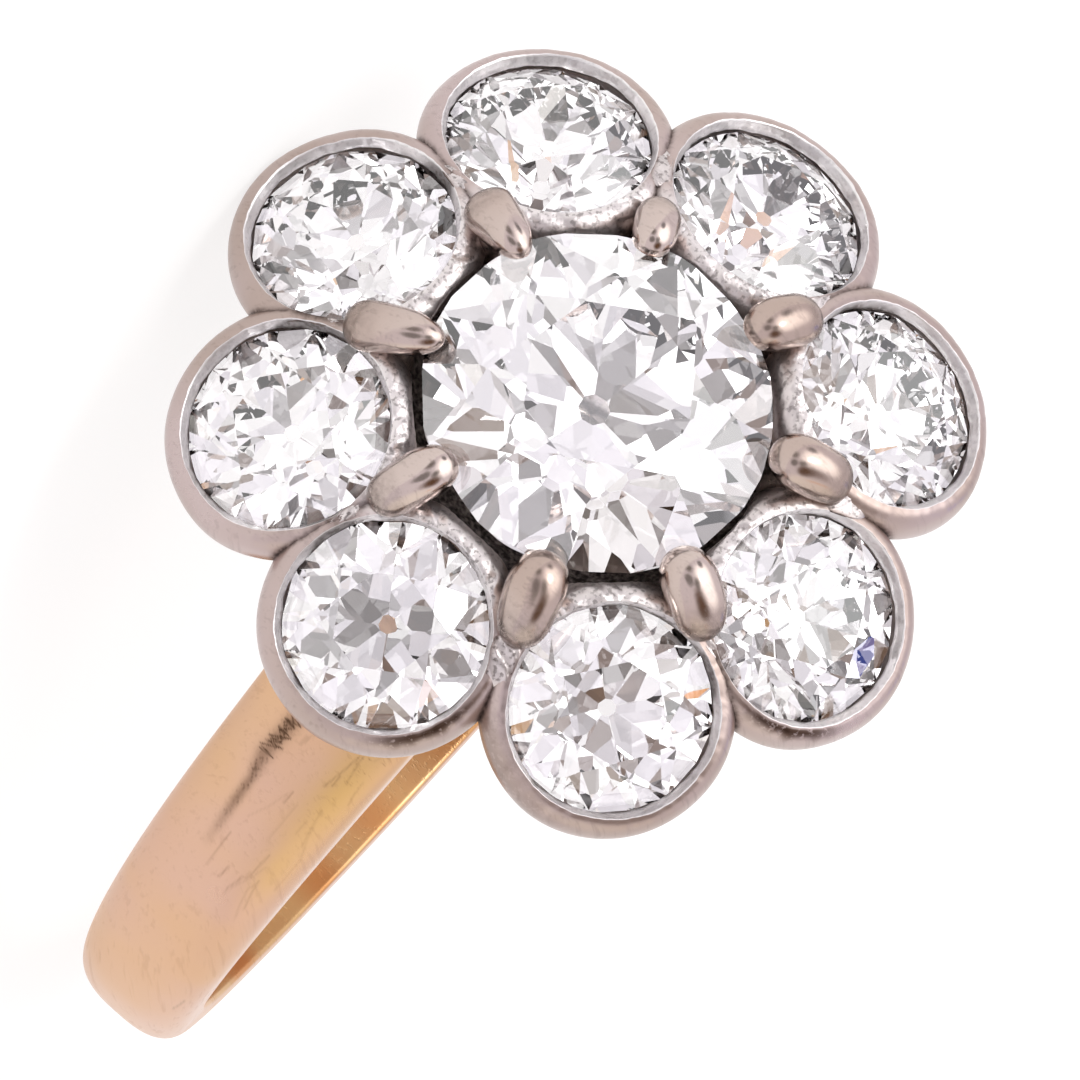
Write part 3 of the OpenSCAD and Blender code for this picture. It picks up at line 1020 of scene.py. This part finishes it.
@dataclass(frozen=True)
class WornMetal:
    """A precious metal polished by hand and worn: colour that drifts, hairline scratches and dull patches."""

    name: str
    face: str
    drift: str
    # The dark tone of grime, of painted shade and of scratches
    grime: str
    cut: str
    roughness: float
    cut_roughness: float = 0.16
    patch_mm: float = 3.0  # width of the patches in which the colour drifts
    hair_mm: float = 0.05  # width of a hairline scratch, drawn coarser than the real one so that it shows
    hair_um: float = 2.0  # depth of the scratches
    grain_mm: float = 0.09  # size of the small pits that a burnisher leaves
    grain_um: float = 1.0
    hair_dull: float = 0.06  # how much rougher a scratch is than the skin round it
    hair_dark: float = 0.12  # how far a scratch darkens the colour
    pit_deepen: float = 4.0  # how much deeper the pits are where the graver and wear have left the metal rough
    hair_shows_um: float = 2.0  # scratches that are no deeper than this stay out of the relief

    def material(self) -> bpy.types.Material:
        """Builds the material on Object coordinates and on the marks that the pieces carry.

        Returns:
            The finished material.
        """
        material, tree = new_material(self.name)

        def value(kind: str, inputs: dict, **settings) -> bpy.types.NodeSocket:
            """Adds a node and gives its first output."""
            return add_node(tree, kind, inputs, **settings).outputs[0]

        place = add_node(tree, "TexCoord").outputs["Object"]
        mm = value("Mapping", {"Vector": place, "Scale": (PER_MM,) * 3})
        patch = value("TexNoise", {"Vector": mm, "Scale": 1 / self.patch_mm, "Detail": 2.0})
        wide = value("MapRange", {"Value": patch, 1: 0.35, 2: 0.65}, interpolation_type="SMOOTHSTEP")
        fine = {"Scale": 0.45 / self.hair_mm, "Detail": 2.0, "Roughness": 0.75}
        lines = []
        for turn, seed in ((0.4, 3.0), (2.1, 11.0)):
            way = {"Rotation": (turn, 0.7 * turn, 1.9 * turn), "Location": (seed,) * 3, "Scale": (1, 0.04, 0.5)}
            noise = value("TexNoise", {"Vector": value("Mapping", {"Vector": mm, **way}), **fine})
            lines.append(value("MapRange", {"Value": noise, 1: 0.58, 2: 0.7}))
        hairs = value("Math", dict(enumerate(lines)), operation="MAXIMUM")
        grain = value("TexNoise", {"Vector": mm, "Scale": 1 / self.grain_mm, "Detail": 3.0})
        # Of the grain: where grime and painted shade break up, how dark a hollow is, and where soot and painted shade
        # are rubbed off
        broken, hollow, streak = (
            value("MapRange", {"Value": grain, 1: low, 2: high, 3: first, 4: last})
            for low, high, first, last in ((0.3, 0.6, 0.5, 1.0), (0.36, 0.48, 0.55, 0.0), (0.35, 0.45, 0.45, 1.0))
        )
        mark = {
            m: add_node(tree, "Attribute", attribute_name=m).outputs["Fac"]
            for m in ("cut", "grime", "soot", "smudge", "glow", "rose", "scratch", "pitted")
        }
        worn, groove, soot, dirt_and_shade = (
            value("Math", {0: share, 1: factor}, operation="MULTIPLY")
            for share, factor in (
                (hairs, self.hair_dark), (mark["scratch"], 0.6), (mark["soot"], streak), (mark["grime"], broken),
            )
        )
        dirt_and_shade = value("Math", {0: mark["pitted"], 1: hollow, 2: dirt_and_shade}, operation="MULTIPLY_ADD", use_clamp=True)
        colour = to_linear(self.face)
        for share, tone in (
            (wide, self.drift),
            # Painted light on the shank: a warm yellow glow
            (mark["glow"], "#D3AC64"),
            # Painted reflection on the shank's inside: orange bands
            (mark["rose"], "#D29660"),
            (mark["smudge"], "#7A5E4C"),
            (worn, self.grime),
            (groove, self.grime),
            (mark["cut"], self.cut),
            # Painted shade in seams, bores, claw tails and the basket, with grime, and darker hollows where the metal
            # is pitted
            (dirt_and_shade, self.grime),
            # The shank's black scrape and the collets' dark bands, the broad one of them painted shade
            (soot, "#432E20"),
        ):
            colour = add_node(tree, "Mix", {0: share, 6: colour, 7: to_linear(tone)}, data_type="RGBA").outputs[2]
        low, high = self.roughness * 0.8, self.roughness * 1.2
        dull = value("MapRange", {"Value": patch, 1: 0.3, 2: 0.7, 3: low, 4: high})
        for share, more in ((hairs, self.hair_dull), (dirt_and_shade, 0.25)):
            dull = value("Math", {0: share, 1: more, 2: dull}, operation="MULTIPLY_ADD")
        dull = value("Mix", {0: mark["cut"], 2: dull, 3: self.cut_roughness})
        deepen = value("Math", {0: mark["pitted"], 1: self.pit_deepen, 2: 1.0}, operation="MULTIPLY_ADD")
        relief = value("Math", {0: grain, 1: deepen}, operation="MULTIPLY")
        normal = value("Bump", {"Height": relief, "Strength": 1.0, "Distance": self.grain_um * MICRON})
        if self.hair_um > self.hair_shows_um:
            hair = {"Height": hairs, "Strength": 1.0, "Distance": self.hair_um * MICRON, "Normal": normal}
            normal = value("Bump", hair, invert=True)
        close_material(tree, {"Base Color": colour, "Metallic": 1.0, "Roughness": dull, "Normal": normal})
        return material


@dataclass(frozen=True)
class Diamond:
    """Old-cut diamond, polished on a wheel: clear, strongly refracting, with a faint warm body colour."""

    name: str = "polished_old_cut_diamond"
    colour: str = "#FEFCFD"
    ior: float = 2.417

    def material(self) -> bpy.types.Material:
        """Builds the material: clear transmission through faces polished flat, with no roughness."""
        material, tree = new_material(self.name)
        colour = to_linear(self.colour)
        close_material(tree, {"Base Color": colour, "Roughness": 0.0, "IOR": self.ior, "Transmission Weight": 1.0})
        return material


@dataclass(frozen=True)
class WhiteCard:
    """Matt white acrylic of a light table, cast: a soft even white that glows, so shadows on it stay faint."""

    name: str = "cast_white_acrylic"
    colour: str = "#9A9998"
    drift: str = "#9E9D9C"
    drift_mm: float = 6.0
    glow: float = 0.74

    def material(self) -> bpy.types.Material:
        """Builds the material: a diffuse white whose tone drifts by a hair on a noise 6 mm wide."""
        material, tree = new_material(self.name)
        place = add_node(tree, "TexCoord").outputs["Object"]
        noise = add_node(tree, "TexNoise", {"Vector": place, "Scale": PER_MM / self.drift_mm, "Detail": 1.0})
        tones = {0: noise.outputs[0], 6: to_linear(self.colour), 7: to_linear(self.drift)}
        tone = add_node(tree, "Mix", tones, data_type="RGBA").outputs[2]
        matt = {"Base Color": tone, "Roughness": 0.9, "Specular IOR Level": 0.1}
        close_material(tree, {**matt, "Emission Color": (1.0,) * 4, "Emission Strength": self.glow})
        return material


# Studio


def bright(hex_colour: str, strength: float) -> Colour:
    """A linear colour, made as many times brighter as the strength says."""
    return (*(c * strength for c in to_linear(hex_colour)[:3]), 1.0)


@dataclass(frozen=True)
class Glow:
    """A soft round patch of the surroundings: where it is, how wide, how soft its rim and how bright it is."""

    toward: tuple[float, float, float]
    half_deg: float
    soft_deg: float
    colour: str
    strength: float

    def tone(self) -> Colour:
        """The patch's linear colour, as bright as it is."""
        return bright(self.colour, self.strength)


# What the metal and the stones mirror, in the order in which it is laid: two bright cards, a brown shade, four grey
# ones and two small coloured glints
PATCHES = (
    Glow((0.72, 0.35, 0.6), 24, 16, "#FFFBF4", 1.2),
    Glow((-0.5, -0.52, 0.7), 26, 14, "#FFFFFF", 2.2),
    Glow((0.32, -0.38, 0.87), 15, 10, "#A87C58", 0.4),
    Glow((-0.75, -0.6, 0.28), 9, 4, "#8F8C90", 1.0),
    Glow((0.351, -0.867, 0.353), 13, 3, "#A09C9C", 0.85),
    Glow((-0.1, -0.99, 0.1), 9, 7, "#8C8682", 0.9),
    Glow((0.05, -0.72, 0.69), 8, 6, "#8E8A88", 0.9),
    Glow((-0.5, 0.55, 0.67), 4, 1, "#5F74E8", 1.5),
    Glow((0.45, 0.2, 0.87), 2.0, 1, "#F0A050", 1.4),
)


@dataclass(frozen=True)
class Studio:
    """The photograph's camera, the white floor and the plain soft light."""

    # The camera leans from the head's axis by lean, toward the direction at bearing in the collets' plane
    lean: float = math.radians(21.01)
    bearing: float = math.radians(11.38)
    roll: float = math.radians(59.33)
    distance_mm: float = 300.0
    px_per_mm: float = 55.43
    head_px: tuple[float, float] = (582.2, 418.3)
    frame_px: float = 1080.0
    floor_half: float = 0.8
    floor_bend: float = 0.3
    bounces: int = 12

    def camera(self, ring: RingFrame) -> None:
        """Sets up the camera: its three axes from the three angles, and its place from the head's pixel."""
        t, f, h = np.eye(3)
        side = math.cos(self.bearing) * t + math.sin(self.bearing) * f
        back = math.cos(self.lean) * h + math.sin(self.lean) * side
        e1 = math.sin(self.lean) * h - math.cos(self.lean) * side
        e2 = math.cos(self.bearing) * f - math.sin(self.bearing) * t
        right = math.cos(self.roll) * e1 + math.sin(self.roll) * e2
        up = math.sin(self.roll) * e1 - math.cos(self.roll) * e2
        dx = (self.head_px[0] - self.frame_px / 2) / self.px_per_mm
        dy = (self.frame_px / 2 - self.head_px[1]) / self.px_per_mm
        spot = ring.place(self.distance_mm * back - dx * right - dy * up)
        lens = bpy.data.cameras.new("photo_camera")
        lens.sensor_fit = "HORIZONTAL"
        lens.angle = 2 * math.atan(self.frame_px / 2 / (self.px_per_mm * self.distance_mm))
        lens.clip_start, lens.clip_end = 0.01, 10.0
        camera = add_object("photo_camera", lens)
        camera.matrix_world = Matrix.Translation(spot.tolist()) @ turned_to(*(ring.turn(v) for v in (right, up, back)))
        bpy.context.scene.camera = camera

    def floor(self, material: bpy.types.Material) -> None:
        """Makes the floor: a square at height 0 whose far edge bends up by a quarter circle into a wall."""
        side = np.linspace(-self.floor_half, self.floor_half, 3)
        bend = np.linspace(0, math.pi / 2, 25)
        depth = np.concatenate([[-self.floor_half, 0.0, 0.5], 0.6 + self.floor_bend * np.sin(bend), [0.9]])
        height = np.concatenate([[0.0] * 3, self.floor_bend * (1 - np.cos(bend)), [self.floor_half]])
        points = np.stack(np.broadcast_arrays(side, depth[:, None], height[:, None]), axis=-1)
        grid = Surface(points, wrap_cols=False)
        mesh = bpy.data.meshes.new("white_floor")
        mesh.from_pydata(points.reshape(-1, 3).tolist(), [], grid.faces(0).tolist())
        mesh.polygons.foreach_set("use_smooth", [True] * len(mesh.polygons))
        mesh.materials.append(material)
        add_object("white_floor", mesh)

    def surroundings(self, colour: Colour, glows: tuple[Glow, ...]) -> None:
        """Builds the world: an even tone, then each patch laid over it by a smooth step of the angle to its middle.

        Args:
            colour: The even tone.
            glows: The patches, in the order in which they are laid.
        """
        world = bpy.data.worlds.new("studio")
        bpy.context.scene.world = world
        world.use_nodes = True
        world.cycles.sampling_method = "NONE"  # the patches are wide and mild, so light finds them without aiming
        tree = world.node_tree
        tree.nodes.clear()
        way = add_node(tree, "TexCoord").outputs["Generated"]
        for glow in glows:
            toward = np.array(glow.toward) / np.linalg.norm(glow.toward)
            near = add_node(tree, "VectorMath", {0: way, 1: toward.tolist()}, operation="DOT_PRODUCT")
            low = math.cos(math.radians(glow.half_deg + glow.soft_deg))
            high = math.cos(math.radians(max(0.0, glow.half_deg - glow.soft_deg)))
            step = {"Value": near.outputs["Value"], 1: low, 2: high}
            share = add_node(tree, "MapRange", step, interpolation_type="SMOOTHSTEP").outputs[0]
            colour = add_node(tree, "Mix", {0: share, 6: colour, 7: glow.tone()}, data_type="RGBA").outputs[2]
        back = add_node(tree, "Background", {"Color": colour, "Strength": 1.0})
        add_node(tree, "OutputWorld", {"Surface": back.outputs[0]})

    def lamp(self, name: str, spot: tuple[float, float, float], width: float, power: float) -> None:
        """Adds a soft square lamp that faces the ring.

        Args:
            name: The lamp's name.
            spot: Its place in metres.
            width: Its side in metres.
            power: Its power in watts.
        """
        light = bpy.data.lights.new(name, "AREA")
        light.size, light.energy = width, power
        lamp = add_object(name, light)
        z = np.array(spot) / np.linalg.norm(spot)
        x = np.cross([0.0, 1.0, 0.0], z)
        x /= np.linalg.norm(x)
        lamp.matrix_world = Matrix.Translation(spot) @ turned_to(x, np.cross(z, x), z)


def main() -> None:
    """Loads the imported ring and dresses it."""
    logging.basicConfig(level=logging.INFO, format="%(name)s: %(message)s")
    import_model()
    ring = RingFrame(hole=(0.0, 0.0021928, 0.003754), finger=(0.0, 0.30814, 0.951341), head_rise=11.9975)

    studio = Studio()
    studio.camera(ring)
    studio.floor(WhiteCard().material())
    studio.surroundings(bright("#F4F0F6", 1.08), PATCHES)
    studio.lamp("overhead_lamp", (-0.2, -0.38, 0.42), 0.12, 0.3)
    # Light turns many times inside a diamond before it comes out
    paths = bpy.context.scene.cycles
    paths.max_bounces = paths.glossy_bounces = paths.transmission_bounces = studio.bounces
    paths.diffuse_bounces = 2
    view = bpy.context.scene.view_settings
    view.view_transform, view.look, view.exposure, view.gamma = "Standard", "None", 0.0, 1.0

    # Yellow gold with a little copper, cast, filed and worn smooth by the finger: a satin glow, warm and scratched
    gold = WornMetal(
        "worn_polished_gold", "#D5AF99", "#D8B08E", "#6B4A33", "#F2D2A8", 0.32, hair_um=3.0, hair_dark=0.08
    )
    # Platinum, filed and brushed, with the top edge cut bright by a graver: soft grey with one sharp white line
    collet = WornMetal(
        "bright_cut_platinum", "#C4B3B1", "#B6A49C", "#3A2C26", "#F6F2F2", 0.3, cut_roughness=0.38, grain_um=2.5
    )
    # Platinum claws, pushed over the stone and burnished: rounder highlights and a smoother skin
    claw = WornMetal("burnished_platinum", "#CBBBB4", "#B9A69C", "#3A2C26", "#F1ECE8", 0.18, hair_um=1.2)
    # Platinum as it left the file, plain and out of sight
    basket = WornMetal("filed_platinum", "#C4B9B4", "#AFA199", "#2B201B", "#F1ECE8", 0.4)
    finishes = {
        Part.SHANK: gold.material(),
        Part.COLLET: collet.material(),
        Part.CLAW: claw.material(),
        Part.BASKET: basket.material(),
        Part.STONE: Diamond().material(),
    }
    Shank(ring.head_rise).build(ring, finishes[Part.SHANK])
    ClusterHead().build(ring, finishes)

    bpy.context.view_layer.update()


if __name__ == "__main__":
    main()
